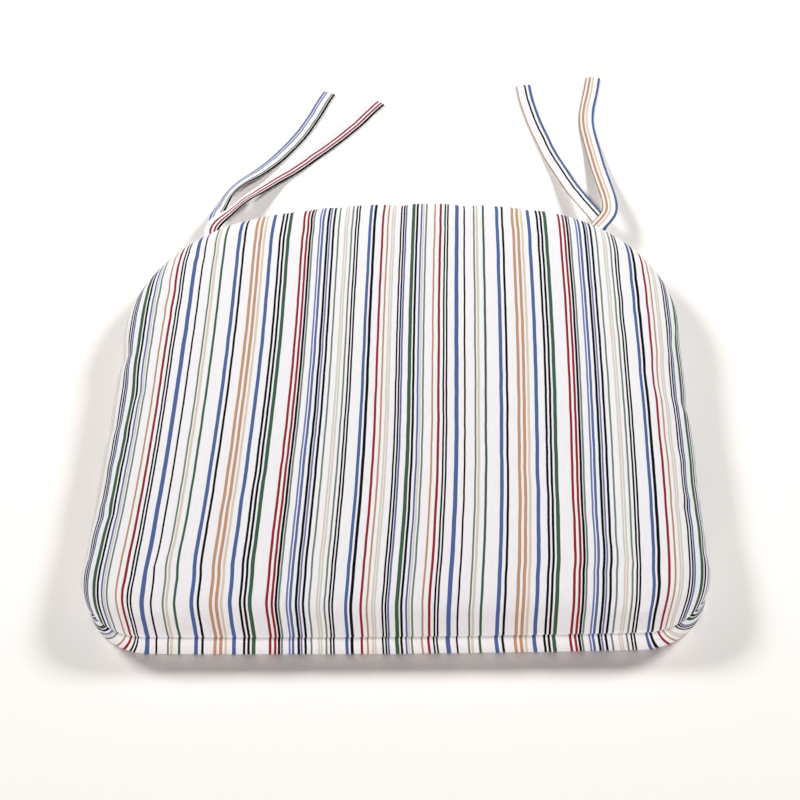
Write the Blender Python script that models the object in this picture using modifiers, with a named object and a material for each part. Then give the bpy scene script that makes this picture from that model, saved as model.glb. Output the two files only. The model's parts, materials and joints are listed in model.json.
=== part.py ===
"""Chair seat pad: a D-shaped foam cushion in a sewn, zipped cover with two pairs of tie tapes.

+Z is up, +Y is the back of the seat, where the zip and the ties are, and the origin is on the
underside, at the middle of the pad. All lengths are in metres and all angles in degrees.
"""
from math import atan2, cos, degrees, hypot, radians, sin, sqrt, tan

import bmesh
import bpy
import numpy as np
from mathutils import Vector

# Plan outline of the pad, at the seam: five tangent arcs on each side of the centre line.
PAD_WIDTH = 0.400
PAD_DEPTH = 0.378
FRONT_RADIUS = 8.0
SIDE_RADIUS = 13.0
BACK_RADIUS = 0.504
FRONT_CORNER_RADIUS = 0.046
BACK_CORNER_RADIUS = 0.121
WIDEST_BEHIND_FRONT = 0.097     # distance from the front edge to the widest point

# Heights and edge shape.
SEAM_HEIGHT = 0.020             # underside to seam
EDGE_RISE = 0.0225              # seam to the top of the rolled edge
CROWN = 0.0035                  # extra height in the middle
ROLL_WIDTH = 0.060              # how far in from the seam the edge rolls over
ROLL_POWER = 2.6                # 2 is an ellipse, more is squarer
TUCK = 0.0005                   # how far the underside is drawn in from the seam
BOTTOM_FILLET = 0.002

# Cloth, foam and sewing.
GAP = 0.0003                    # between pieces that touch
FABRIC = 0.0008
SEAM_ALLOWANCE = 0.010
OVERLOCK_RADIUS = 0.0008
GROOVE_MOUTH = 0.012            # half height of the groove that the seam presses into the foam
ROLL_STEPS = 8                  # facets over the rolled edge
ARC_STEPS = 12                  # facets along the zip
SMOOTH_ANGLE = 35               # edges that turn by less are shaded smooth
MERGE = 0.00005

# Zip, standing in the back wall with its teeth on the seam line.
ZIP_END_MARGIN = 0.0045         # from each end of the zip to the end of the straight-swept back arc
WINDOW_HALF_HEIGHT = 0.0042     # from the seam line to the fabric edge beside the zip
COIL_SLIT = 0.0007              # half the slit between the two coils
COIL_HEIGHT = 0.0019
COIL_THICKNESS = 0.0016
TAPE_HEIGHT = 0.0080
TAPE_THICKNESS = 0.0005
STOP_LENGTH = 0.0020
SLIDER_LENGTH = 0.0090
SLIDER_PLATE = 0.0010
SLIDER_LIP = 0.0004
POST_LENGTH = 0.0026
BRIDGE_LENGTH = 0.0046
BRIDGE_WIDTH = 0.0020
BRIDGE_BAR = 0.0008
PULL_LENGTH = 0.0230
PULL_WIDTH = 0.0052
PULL_THICKNESS = 0.0010
PULL_CLEARANCE = 0.0004
PULL_REST_TILT = 3.0
SLIDER_EDGE = 0.00015           # bevels
PULL_EDGE = 0.0002

# Ties.
TIE_WIDTH = 0.0120
TIE_THICKNESS = 0.0009
TIE_LAYER_GAP = 0.0004
TIE_CORNER_ANGLE = 33.0         # where a tie pair leaves the seam, about the back corner's centre
TIE_HEADINGS = {"left": 14.0, "right": 33.0}    # which way it leaves, outwards from +Y
TIE_STUB = 0.003                # how far the sewn-in fold stands out of the seam
TIE_POINT_SPACING = 0.006

FRONT = -PAD_DEPTH / 2
BACK = PAD_DEPTH / 2
# Deepest ring that is a true inset of the outline. Further in, rings shrink towards the middle.
INSET_LIMIT = 0.75 * FRONT_CORNER_RADIUS
WALL = FABRIC + GAP
FLAT_INSET = TUCK + BOTTOM_FILLET

# Each route runs from the seam to the free end, and its points were chosen by hand.
TIE_ROUTES = {
    "tie_left_outer": [
        (-0.1450, 0.1650, 0.01935), (-0.1464, 0.1707, 0.0189), (-0.1466, 0.1780, 0.0176),
        (-0.1457, 0.1860, 0.0159), (-0.1451, 0.1969, 0.0136), (-0.1420, 0.2109, 0.0103),
        (-0.1378, 0.2283, 0.0068), (-0.1305, 0.2424, 0.0040), (-0.1196, 0.2547, 0.0020),
        (-0.1085, 0.2678, 0.0010), (-0.0971, 0.2840, 0.0008), (-0.0856, 0.3041, 0.0008),
        (-0.0766, 0.3249, 0.0008), (-0.0698, 0.3441, 0.0008), (-0.0658, 0.3537, 0.0008)],
    "tie_left_inner": [
        (-0.1450, 0.1650, 0.02065), (-0.1464, 0.1707, 0.0206), (-0.1454, 0.1780, 0.0198),
        (-0.1415, 0.1875, 0.0178), (-0.1345, 0.1997, 0.0145), (-0.1247, 0.2180, 0.0095),
        (-0.1131, 0.2343, 0.0052), (-0.1020, 0.2485, 0.0022), (-0.0882, 0.2617, 0.0010),
        (-0.0752, 0.2759, 0.0008), (-0.0633, 0.2884, 0.0008), (-0.0525, 0.3011, 0.0008),
        (-0.0392, 0.3178, 0.0008), (-0.0319, 0.3290, 0.0008), (-0.0233, 0.3404, 0.0008)],
    "tie_right_inner": [
        (0.1461, 0.1646, 0.01935), (0.1493, 0.1695, 0.0188), (0.1503, 0.1755, 0.0176),
        (0.1482, 0.1835, 0.0158), (0.1411, 0.2007, 0.0122), (0.1325, 0.2234, 0.0072),
        (0.1247, 0.2470, 0.0033), (0.1166, 0.2704, 0.0013), (0.1103, 0.2927, 0.0008),
        (0.1048, 0.3133, 0.0008), (0.1003, 0.3357, 0.0008), (0.0977, 0.3571, 0.0008)],
    "tie_right_outer": [
        (0.1461, 0.1646, 0.02065), (0.1494, 0.1694, 0.0206), (0.1536, 0.1755, 0.0201),
        (0.1570, 0.1825, 0.0188), (0.1589, 0.1910, 0.0167), (0.1593, 0.2033, 0.0137),
        (0.1574, 0.2239, 0.0090), (0.1541, 0.2494, 0.0047), (0.1508, 0.2779, 0.0020),
        (0.1481, 0.3038, 0.0009), (0.1492, 0.3227, 0.0008), (0.1537, 0.3467, 0.0008),
        (0.1568, 0.3646, 0.0008)],
}


# ---------------------------------------------------------------- outline and sections

def arc_meeting(centre_a, radius_a, centre_b, radius_b, sign):
    """Centre of an arc that is tangent inside two larger circles."""
    dx, dy = centre_b[0] - centre_a[0], centre_b[1] - centre_a[1]
    distance = hypot(dx, dy)
    along = (radius_a ** 2 - radius_b ** 2 + distance ** 2) / (2 * distance)
    off = sign * sqrt(radius_a ** 2 - along ** 2)
    return (centre_a[0] + (along * dx - off * dy) / distance,
            centre_a[1] + (along * dy + off * dx) / distance)


def direction(centre, point):
    return atan2(point[1] - centre[1], point[0] - centre[0])


FRONT_CENTRE = (0.0, FRONT + FRONT_RADIUS)
BACK_CENTRE = (0.0, BACK - BACK_RADIUS)
SIDE_CENTRE = (PAD_WIDTH / 2 - SIDE_RADIUS, FRONT + WIDEST_BEHIND_FRONT)
FRONT_CORNER = arc_meeting(FRONT_CENTRE, FRONT_RADIUS - FRONT_CORNER_RADIUS,
                           SIDE_CENTRE, SIDE_RADIUS - FRONT_CORNER_RADIUS, 1)
BACK_CORNER = arc_meeting(BACK_CENTRE, BACK_RADIUS - BACK_CORNER_RADIUS,
                          SIDE_CENTRE, SIDE_RADIUS - BACK_CORNER_RADIUS, -1)
# Half angle of the back arc, and of the zip that lies on it, measured from +Y.
BACK_ARC_HALF = 90.0 - degrees(direction(BACK_CENTRE, BACK_CORNER))
ZIP_HALF = BACK_ARC_HALF - degrees(ZIP_END_MARGIN / BACK_RADIUS)


def outline(inset):
    """Right half of the plan outline, front centre to back centre, moved inwards by inset."""
    turns = [radians(-90), direction(FRONT_CENTRE, FRONT_CORNER), direction(SIDE_CENTRE, FRONT_CORNER),
             direction(SIDE_CENTRE, BACK_CORNER), direction(BACK_CENTRE, BACK_CORNER), radians(90)]
    arcs = [(FRONT_CENTRE, FRONT_RADIUS, 3), (FRONT_CORNER, FRONT_CORNER_RADIUS, 6),
            (SIDE_CENTRE, SIDE_RADIUS, 3), (BACK_CORNER, BACK_CORNER_RADIUS, 6),
            (BACK_CENTRE, BACK_RADIUS, 6)]
    points = []
    for (centre, radius, steps), start, end in zip(arcs, turns, turns[1:]):
        for step in range(steps):
            angle = start + (end - start) * step / steps
            points.append((centre[0] + (radius - inset) * cos(angle),
                           centre[1] + (radius - inset) * sin(angle)))
    points.append((0.0, BACK - inset))
    points[0] = (0.0, points[0][1])
    return points


def ring(inset, height):
    """Half ring of 3-D points. Past INSET_LIMIT it shrinks to the middle, at inset BACK."""
    share = 1.0
    if inset > INSET_LIMIT:
        share = 1 - (inset - INSET_LIMIT) / (BACK - INSET_LIMIT)
    return [(share * x, share * y, height) for x, y in outline(min(inset, INSET_LIMIT))]


def upper_section():
    """(inset, height) of the cover from the seam, over the rolled edge, to the middle of the top."""
    section = []
    for step in range(ROLL_STEPS + 1):
        angle = radians(90 * step / ROLL_STEPS)
        section.append((ROLL_WIDTH * (1 - cos(angle) ** (2 / ROLL_POWER)),
                        SEAM_HEIGHT + GAP / 2 + EDGE_RISE * sin(angle) ** (2 / ROLL_POWER)))
    edge_top = section[-1][1]
    for share in (0.62, 0.36, 0.14, 0.0):
        section.append((BACK - share * (BACK - INSET_LIMIT), edge_top))
    crowned = []
    for inset, height in section:
        middle = max(0.0, (inset - INSET_LIMIT) / (BACK - INSET_LIMIT))
        crowned.append((inset, height + CROWN * (1 - (1 - middle) ** 2)))
    return crowned


def lower_section():
    """(inset, height) of the cover from the seam, down the side, to the middle of the underside."""
    section = [(0.0, SEAM_HEIGHT - GAP / 2), (0.4 * TUCK, 0.5 * SEAM_HEIGHT)]
    for step in range(4):
        angle = radians(90 * step / 3)
        section.append((FLAT_INSET - BOTTOM_FILLET * cos(angle), BOTTOM_FILLET * (1 - sin(angle))))
    section.append((BACK - 0.5 * (BACK - INSET_LIMIT), 0.0))
    section.append((BACK, 0.0))
    return section


def moved_in(section, distance, side):
    """The section moved towards the foam. side is 1 above the seam and -1 below it."""
    points = np.array(section)
    run = np.gradient(points, axis=0)
    run /= np.linalg.norm(run, axis=1)[:, None]
    run[-1] = (1.0, 0.0)
    inwards = side * np.column_stack([run[:, 1], -run[:, 0]])
    moved = points + distance * inwards
    moved[-1, 0] = points[-1, 0]
    return [tuple(point) for point in moved]


# ---------------------------------------------------------------- modelling helpers

def clear_scene():
    for item in list(bpy.data.objects):
        bpy.data.objects.remove(item, do_unlink=True)


def collection(name):
    made = bpy.data.collections.new(name)
    bpy.context.scene.collection.children.link(made)
    return made


def material(name, colour, roughness, metallic=0.0):
    made = bpy.data.materials.new(name)
    made.use_nodes = True
    shader = made.node_tree.nodes["Principled BSDF"]
    shader.inputs["Base Color"].default_value = (*colour, 1.0)
    shader.inputs["Roughness"].default_value = roughness
    shader.inputs["Metallic"].default_value = metallic
    return made


def mesh_object(name, mesh, look, smooth=True):
    made = bpy.data.objects.new(name, mesh)
    parts.objects.link(made)
    if look:
        mesh.materials.append(look)
    if smooth:
        mesh.shade_smooth()
        mesh.set_sharp_from_angle(angle=radians(SMOOTH_ANGLE))
    return made


def finish_mesh(name, work):
    bmesh.ops.recalc_face_normals(work, faces=work.faces)
    mesh = bpy.data.meshes.new(name)
    work.to_mesh(mesh)
    work.free()
    return mesh


def lofted_half(name, rings, apexes, look):
    """Skin over half rings, mirrored across the centre line. apexes closes the first, last end."""
    work = bmesh.new()
    rows = [[work.verts.new(point) for point in points] for points in rings]
    for row, following in zip(rows, rows[1:]):
        for a, b, c, d in zip(row, row[1:], following[1:], following):
            work.faces.new((a, b, c, d))
    for row, apex in zip((rows[0], rows[-1]), apexes):
        if apex is not None:
            tip = work.verts.new(apex)
            for a, b in zip(row, row[1:]):
                work.faces.new((a, b, tip))
    made = mesh_object(name, finish_mesh(name, work), look)
    mirror = made.modifiers.new("mirror", "MIRROR")
    mirror.merge_threshold = MERGE
    return made


def swept(name, section, half_angle, look):
    """Solid whose (inset, height) section is swept along the back arc, about its centre."""
    work = bmesh.new()
    corners = []
    for inset, height in section:
        radius = BACK_RADIUS - inset
        corners.append(work.verts.new((radius * sin(radians(half_angle)),
                                       radius * cos(radians(half_angle)), height)))
    face = work.faces.new(corners)
    bmesh.ops.spin(work, geom=[face], cent=(0, 0, 0), axis=(0, 0, 1),
                   angle=radians(2 * half_angle), steps=ARC_STEPS, use_duplicate=False)
    made = mesh_object(name, finish_mesh(name, work), look)
    made.location = (*BACK_CENTRE, 0)
    return made


def box(name, low, high, look=None):
    work = bmesh.new()
    bmesh.ops.create_cube(work, size=1)
    size = Vector(high) - Vector(low)
    bmesh.ops.scale(work, vec=size, verts=work.verts)
    bmesh.ops.translate(work, vec=Vector(low) + size / 2, verts=work.verts)
    return mesh_object(name, finish_mesh(name, work), look, smooth=False)


def boolean(target, tool, operation):
    """Adds a Boolean, and turns the tool into a hidden guide beside the model."""
    change = target.modifiers.new(tool.name, "BOOLEAN")
    change.operation = operation
    change.solver = "EXACT"
    change.object = tool
    if tool.name in parts.objects:
        parts.objects.unlink(tool)
        cutters.objects.link(tool)
        tool.hide_render = True
        tool.display_type = "WIRE"


def bevel(target, width, segments=1):
    change = target.modifiers.new("bevel", "BEVEL")
    change.width = width
    change.segments = segments
    change.limit_method = "ANGLE"


def solidify(target, thickness):
    change = target.modifiers.new("cloth", "SOLIDIFY")
    change.thickness = thickness
    change.offset = -1
    change.use_even_offset = True


def smooth_curve(route, spacing):
    """Points of a Catmull-Rom curve through the route, spaced evenly along it."""
    knots = np.array(route)
    knots = np.vstack([2 * knots[0] - knots[1], knots, 2 * knots[-1] - knots[-2]])
    fine = []
    for p0, p1, p2, p3 in zip(knots, knots[1:], knots[2:], knots[3:]):
        for share in np.linspace(0, 1, 16, endpoint=False):
            fine.append(0.5 * (2 * p1 + (p2 - p0) * share + (2 * p0 - 5 * p1 + 4 * p2 - p3) * share ** 2
                               + (3 * p1 - p0 - 3 * p2 + p3) * share ** 3))
    fine.append(knots[-2])
    fine = np.array(fine)
    travelled = np.concatenate([[0], np.cumsum(np.linalg.norm(np.diff(fine, axis=0), axis=1))])
    count = max(2, round(travelled[-1] / spacing))
    stations = np.linspace(0, travelled[-1], count + 1)
    return np.column_stack([np.interp(stations, travelled, fine[:, axis]) for axis in range(3)])


def curve_object(name, points, radius, look, half_flat=0.0):
    """A tube through the points, or a flat tape where half_flat is more than nothing."""
    data = bpy.data.curves.new(name, "CURVE")
    data.dimensions = "3D"
    data.twist_mode = "Z_UP"
    data.bevel_depth = radius
    data.bevel_resolution = 1
    data.extrude = half_flat
    data.use_fill_caps = True
    spline = data.splines.new("POLY")
    spline.points.add(len(points) - 1)
    for knot, point in zip(spline.points, points):
        knot.co = (*point, 1)
        knot.tilt = radians(90) if half_flat else 0.0
    data.materials.append(look)
    made = bpy.data.objects.new(name, data)
    parts.objects.link(made)
    return made


# ---------------------------------------------------------------- cover and foam

def make_foam(look):
    """Foam block that fills the cover, with a groove where the seam allowance presses in."""
    floor_half = GAP / 2 + FABRIC + GAP
    floor_inset = SEAM_ALLOWANCE + 2 * OVERLOCK_RADIUS + 2 * GAP
    below = [point for point in moved_in(lower_section(), WALL, -1)
             if point[1] < SEAM_HEIGHT - GROOVE_MOUTH]
    above = [point for point in moved_in(upper_section(), WALL, 1)
             if point[1] > SEAM_HEIGHT + GROOVE_MOUTH]
    section = below[::-1] + [(floor_inset, SEAM_HEIGHT - floor_half),
                             (floor_inset, SEAM_HEIGHT + floor_half)] + above
    rings = [ring(*point) for point in section[1:-1]]
    apexes = [(0, 0, section[0][1]), (0, 0, section[-1][1])]
    return lofted_half("foam_core", rings, apexes, look)


def make_panel(name, section, look):
    """One cover panel: seam allowance turned in, then the side and the face. Fabric is inside."""
    rings = [ring(SEAM_ALLOWANCE, section[0][1])] + [ring(*point) for point in section[:-1]]
    panel = lofted_half(name, rings, [None, (0, 0, section[-1][1])], look)
    solidify(panel, FABRIC)
    return panel


def make_seam_overlock(look):
    """Thread that binds the raw edges of the seam allowance, all the way round but for the zip."""
    inset = SEAM_ALLOWANCE + GAP + OVERLOCK_RADIUS
    stop = window_half()
    radius = BACK_RADIUS - inset
    half = [point for point in outline(inset)
            if degrees(atan2(point[0], point[1] - BACK_CENTRE[1])) > stop + 0.5 or point[1] < 0]
    half.append((radius * sin(radians(stop)), BACK_CENTRE[1] + radius * cos(radians(stop))))
    loop = [(-x, y, SEAM_HEIGHT) for x, y in half[::-1]] + [(x, y, SEAM_HEIGHT) for x, y in half[1:]]
    return curve_object("seam_overlock", loop, OVERLOCK_RADIUS, look)


# ---------------------------------------------------------------- zip

def window_half():
    """Half angle of the opening in the back seam that the zip closes."""
    return ZIP_HALF + degrees((2 * GAP + STOP_LENGTH) / BACK_RADIUS)


COIL_INSET = WALL + TAPE_THICKNESS / 2 - COIL_THICKNESS / 2   # outer face of the coils
SLIDER_OUTSIDE = COIL_INSET - GAP - SLIDER_PLATE              # outer face of the slider's body
PULL_PIVOT = SLIDER_OUTSIDE - PULL_CLEARANCE - PULL_THICKNESS / 2
COIL_EDGE = COIL_SLIT + COIL_HEIGHT                           # seam line to the tape's side of a coil


def make_zip_window():
    """Cutter for both panels: the gap in the back seam, as deep as the seam allowance."""
    deep = SEAM_ALLOWANCE + 2 * GAP
    low, high = SEAM_HEIGHT - WINDOW_HALF_HEIGHT, SEAM_HEIGHT + WINDOW_HALF_HEIGHT
    return swept("zip_window", [(-WINDOW_HALF_HEIGHT, low), (deep, low), (deep, high),
                                (-WINDOW_HALF_HEIGHT, high)], window_half(), None)


def make_zip_tape(name, side, look):
    """Woven tape that runs from the coil's edge up or down behind the panel."""
    section = upper_section() if side > 0 else lower_section()
    lie = np.array(moved_in(section, WALL, side))
    start = COIL_EDGE + GAP
    heights = np.linspace(start, start + TAPE_HEIGHT, 4)
    rise = side * (lie[:6, 1] - SEAM_HEIGHT)
    insets = np.interp(heights, rise, lie[:6, 0])
    outer = [(inset, SEAM_HEIGHT + side * height) for inset, height in zip(insets, heights)]
    inner = [(inset + TAPE_THICKNESS, height) for inset, height in outer]
    return swept(name, outer + inner[::-1], ZIP_HALF, look)


def make_zip_coil(name, side, look):
    """Nylon coil along the tape's edge, with the slit for the slider's post beside it."""
    near, far = COIL_SLIT, COIL_EDGE
    chamfer = 0.25 * COIL_THICKNESS
    front, rear = COIL_INSET, COIL_INSET + COIL_THICKNESS
    section = [(front + chamfer, near), (front, near + chamfer), (front, far - chamfer),
               (front + chamfer, far), (rear - chamfer, far), (rear, far - chamfer),
               (rear, near + chamfer), (rear - chamfer, near)]
    section = [(inset, SEAM_HEIGHT + side * height) for inset, height in section]
    return swept(name, section, ZIP_HALF, look)


def make_zip_stop(name, side, look):
    """Small clip across both coils at one end of the zip."""
    stop = box(name, (-STOP_LENGTH / 2, -(COIL_THICKNESS + 2 * GAP) / 2, -COIL_EDGE),
               (STOP_LENGTH / 2, (COIL_THICKNESS + 2 * GAP) / 2, COIL_EDGE), look)
    bevel(stop, GAP)
    angle = radians(side * (ZIP_HALF + degrees((GAP + STOP_LENGTH / 2) / BACK_RADIUS)))
    radius = BACK_RADIUS - COIL_INSET - COIL_THICKNESS / 2
    stop.location = (radius * sin(angle), BACK_CENTRE[1] + radius * cos(angle), SEAM_HEIGHT)
    stop.rotation_euler = (0, 0, -angle)
    return stop


def slider_rest_angle():
    """Angle from +Y to the slider's middle when the zip is closed."""
    return ZIP_HALF - degrees((GAP + SLIDER_LENGTH / 2) / BACK_RADIUS)


def make_zip_slider(look):
    """Two plates either side of the coils, a post through the slit, and a bridge for the pull.

    The mesh's own origin is on the axis of the back arc, which the slider runs round.
    """
    half_length, half_height = SLIDER_LENGTH / 2, COIL_EDGE + GAP + SLIDER_LIP
    outer, inner = BACK_RADIUS - SLIDER_OUTSIDE, BACK_RADIUS - COIL_INSET - COIL_THICKNESS - GAP
    slider = box("zip_slider", (-half_length, outer - SLIDER_PLATE, -half_height),
                 (half_length, outer, half_height), look)
    rear = box("slider_rear_plate", (-half_length, inner - SLIDER_PLATE, -half_height),
               (half_length, inner, half_height))
    boolean(slider, rear, "UNION")
    post_end = half_length - 2 * GAP
    post = box("slider_post", (post_end - POST_LENGTH, inner - SLIDER_PLATE / 2, GAP - COIL_SLIT),
               (post_end, outer - SLIDER_PLATE / 2, COIL_SLIT - GAP))
    boolean(slider, post, "UNION")
    lip_end = BACK_RADIUS - WALL + GAP
    for side in (-1, 1):
        low, high = sorted((side * (half_height - SLIDER_LIP), side * half_height))
        lip = box(f"slider_lip_{'upper' if side > 0 else 'lower'}", (-half_length, lip_end, low),
                  (half_length, outer - SLIDER_PLATE / 2, high))
        boolean(slider, lip, "UNION")
    opening = PULL_THICKNESS + 2 * PULL_CLEARANCE
    top = outer + opening + BRIDGE_BAR
    bridge = box("slider_bridge", (-BRIDGE_LENGTH / 2, outer - SLIDER_PLATE / 2, -BRIDGE_WIDTH / 2),
                 (BRIDGE_LENGTH / 2, top, BRIDGE_WIDTH / 2))
    boolean(slider, bridge, "UNION")
    eye_half = PULL_THICKNESS / 2 + 2 * PULL_CLEARANCE
    eye = box("slider_eye", (-eye_half, outer, -BRIDGE_WIDTH), (eye_half, outer + opening, BRIDGE_WIDTH))
    boolean(slider, eye, "DIFFERENCE")
    bevel(slider, SLIDER_EDGE)
    slider.location = (*BACK_CENTRE, SEAM_HEIGHT)
    slider.rotation_euler = (0, 0, -radians(slider_rest_angle()))
    guides = bpy.data.objects.new("slider_axis", None)
    parts.objects.link(guides)
    guides.location = slider.location
    guides.rotation_euler = slider.rotation_euler
    for name in ("slider_rear_plate", "slider_post", "slider_lip_upper", "slider_lip_lower",
                 "slider_bridge", "slider_eye"):
        bpy.data.objects[name].parent = guides
    return slider


def make_zip_pull(slider, look):
    """Flat tab whose end bar turns under the slider's bridge."""
    bar = PULL_THICKNESS / 2
    reach = hypot(BRIDGE_LENGTH / 2, BRIDGE_BAR + PULL_THICKNESS / 2 + PULL_CLEARANCE) + 2 * PULL_CLEARANCE
    pull = box("zip_pull", (bar - PULL_LENGTH, -PULL_THICKNESS / 2, -PULL_WIDTH / 2),
               (bar, PULL_THICKNESS / 2, PULL_WIDTH / 2), look)
    eye_half = BRIDGE_WIDTH / 2 + PULL_CLEARANCE
    eye = box("pull_eye", (-bar - reach, -PULL_THICKNESS, -eye_half), (-bar, PULL_THICKNESS, eye_half))
    boolean(pull, eye, "DIFFERENCE")
    bevel(pull, PULL_EDGE)
    eye.parent = pull
    pull.parent = slider
    pull.location = (0, BACK_RADIUS - PULL_PIVOT, 0)
    pull.rotation_euler = (0, 0, -radians(PULL_REST_TILT))
    return pull


# ---------------------------------------------------------------- ties

def tie_block(name, side_name, clearance, outside, look):
    """Box across the seam at a tie's place, with clearance all round the folded tape."""
    side = 1 if side_name == "right" else -1
    corner, heading = radians(TIE_CORNER_ANGLE), radians(TIE_HEADINGS[side_name])
    half_width = TIE_WIDTH / 2 + clearance
    half_height = TIE_THICKNESS + TIE_LAYER_GAP / 2 + clearance
    skew = abs(corner - heading)
    inside = SEAM_ALLOWANCE / cos(skew) - TIE_WIDTH / 2 * tan(skew) + clearance
    made = box(name, (-half_width, -inside, -half_height), (half_width, outside, half_height), look)
    made.location = (side * (BACK_CORNER[0] + BACK_CORNER_RADIUS * sin(corner)),
                     BACK_CORNER[1] + BACK_CORNER_RADIUS * cos(corner), SEAM_HEIGHT)
    made.rotation_euler = (0, 0, -side * heading)
    return made


def make_tie(name, look):
    points = smooth_curve(TIE_ROUTES[name], TIE_POINT_SPACING)
    half_thick = TIE_THICKNESS / 2
    return curve_object(name, points, half_thick, look, half_flat=TIE_WIDTH / 2 - half_thick)


# ---------------------------------------------------------------- the pad

clear_scene()
parts = collection("chair_seat_pad")
cutters = collection("cutters")

cotton = material("striped_cotton", (0.88, 0.87, 0.90), 0.85)
foam = material("foam", (0.90, 0.84, 0.62), 0.95)
thread = material("white_thread", (0.86, 0.86, 0.86), 0.7)
tape = material("zip_tape", (0.85, 0.85, 0.86), 0.8)
nylon = material("zip_nylon", (0.82, 0.82, 0.83), 0.4)
metal = material("zip_metal", (0.62, 0.62, 0.64), 0.3, 1.0)

make_foam(foam)
top_panel = make_panel("cover_top_panel", upper_section(), cotton)
bottom_panel = make_panel("cover_bottom_panel", lower_section(), cotton)
make_seam_overlock(thread)

openings = [make_zip_window()]
for side_name in TIE_HEADINGS:
    tie_block(f"tie_anchor_{side_name}", side_name, 0, TIE_STUB, cotton)
    openings.append(tie_block(f"tie_slot_{side_name}", side_name, GAP, 3 * TIE_STUB, None))
for panel in (top_panel, bottom_panel):
    for opening in openings:
        boolean(panel, opening, "DIFFERENCE")

for level, side in (("upper", 1), ("lower", -1)):
    make_zip_tape(f"zip_tape_{level}", side, tape)
    make_zip_coil(f"zip_coil_{level}", side, nylon)
for side_name, side in (("left", -1), ("right", 1)):
    make_zip_stop(f"zip_stop_{side_name}", side, metal)
make_zip_pull(make_zip_slider(metal), metal)

for tie_name in TIE_ROUTES:
    make_tie(tie_name, cotton)
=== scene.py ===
"""Looks of the chair seat pad: sewn striped cover, foam, ties, zip, floor, lights and camera.

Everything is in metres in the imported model's frame: +Z up, +Y to the back of the pad.
"""
import json
from math import atan2, cos, hypot, pi, radians, sin, sqrt

import bmesh
import bpy
import numpy as np
from mathutils import Matrix, Vector


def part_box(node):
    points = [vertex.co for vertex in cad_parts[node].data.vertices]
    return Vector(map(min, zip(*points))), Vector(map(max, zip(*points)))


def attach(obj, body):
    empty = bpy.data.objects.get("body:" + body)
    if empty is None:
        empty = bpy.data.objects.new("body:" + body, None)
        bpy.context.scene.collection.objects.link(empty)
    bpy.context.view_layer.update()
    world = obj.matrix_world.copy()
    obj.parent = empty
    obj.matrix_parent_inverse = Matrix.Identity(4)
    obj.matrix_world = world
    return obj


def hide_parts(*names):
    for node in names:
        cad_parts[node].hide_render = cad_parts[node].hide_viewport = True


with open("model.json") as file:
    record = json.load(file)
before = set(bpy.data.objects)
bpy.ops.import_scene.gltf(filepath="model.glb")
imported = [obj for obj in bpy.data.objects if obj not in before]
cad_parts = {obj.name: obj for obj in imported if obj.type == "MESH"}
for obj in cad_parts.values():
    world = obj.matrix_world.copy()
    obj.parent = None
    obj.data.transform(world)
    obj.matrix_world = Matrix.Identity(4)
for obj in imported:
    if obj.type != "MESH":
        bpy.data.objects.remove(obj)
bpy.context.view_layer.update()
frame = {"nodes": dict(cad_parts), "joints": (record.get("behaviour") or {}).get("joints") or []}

# ------------------------------------------------------------------ sizes from the frame
JOINTS = {joint["name"]: joint for joint in frame["joints"]}
BOTTOM_LOW, BOTTOM_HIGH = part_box("cover_bottom_panel")
TOP_LOW, TOP_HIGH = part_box("cover_top_panel")
SEAM = (TOP_LOW.z + BOTTOM_HIGH.z) / 2
HALF_WIDTH = TOP_HIGH.x
FRONT = TOP_LOW.y
BACK = -FRONT
ZIP_AXIS = Vector(JOINTS["zip_run"]["pos_m"])
BACK_RADIUS = BACK - ZIP_AXIS.y
COIL_LOW, COIL_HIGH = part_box("zip_coil_upper")
COIL_OUT = COIL_HIGH.y - ZIP_AXIS.y
ZIP_HALF = atan2(COIL_HIGH.x, sqrt(COIL_OUT ** 2 - COIL_HIGH.x ** 2))

# Plan outline and edge section, as in the frame's cover panels.
FRONT_RADIUS = 8.0
SIDE_RADIUS = 13.0
FRONT_CORNER_RADIUS = 0.046
BACK_CORNER_RADIUS = 0.121
WIDEST = FRONT + 0.097
ROLL_WIDTH = 0.060
ROLL_POWER = 2.6
EDGE_RISE = 0.0225
CROWN = TOP_HIGH.z - SEAM - EDGE_RISE
TUCK = 0.0005
BOTTOM_FILLET = 0.002
SHRINK_FROM = 0.75 * FRONT_CORNER_RADIUS     # rings further in than this shrink to the middle

# Cloth.
CLOTH = 0.0006                 # thickness of the cotton
END_PITCH = 0.0004             # one warp thread
PICK_PITCH = 0.00045           # one weft thread
PATTERN_START = 0.0074         # fabric u of the first thread of the plan
GRAIN_TURN = 0.0111            # how far the stripes are turned from the pad's centre line
FABRIC_SPAN = 0.47             # width of cloth that the cover's UV square holds
SEAM_JOG = 0.0006              # mismatch of the stripes across the seam
COLUMNS = 360

# ------------------------------------------------------------------ plan and section


def meeting(centre_a, radius_a, centre_b, radius_b, sign):
    """Centre of an arc tangent inside two larger circles."""
    dx, dy = centre_b[0] - centre_a[0], centre_b[1] - centre_a[1]
    distance = hypot(dx, dy)
    along = (radius_a ** 2 - radius_b ** 2 + distance ** 2) / (2 * distance)
    off = sign * sqrt(radius_a ** 2 - along ** 2)
    return (centre_a[0] + (along * dx - off * dy) / distance,
            centre_a[1] + (along * dy + off * dx) / distance)


def heading(centre, point):
    return atan2(point[1] - centre[1], point[0] - centre[0])


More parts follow.
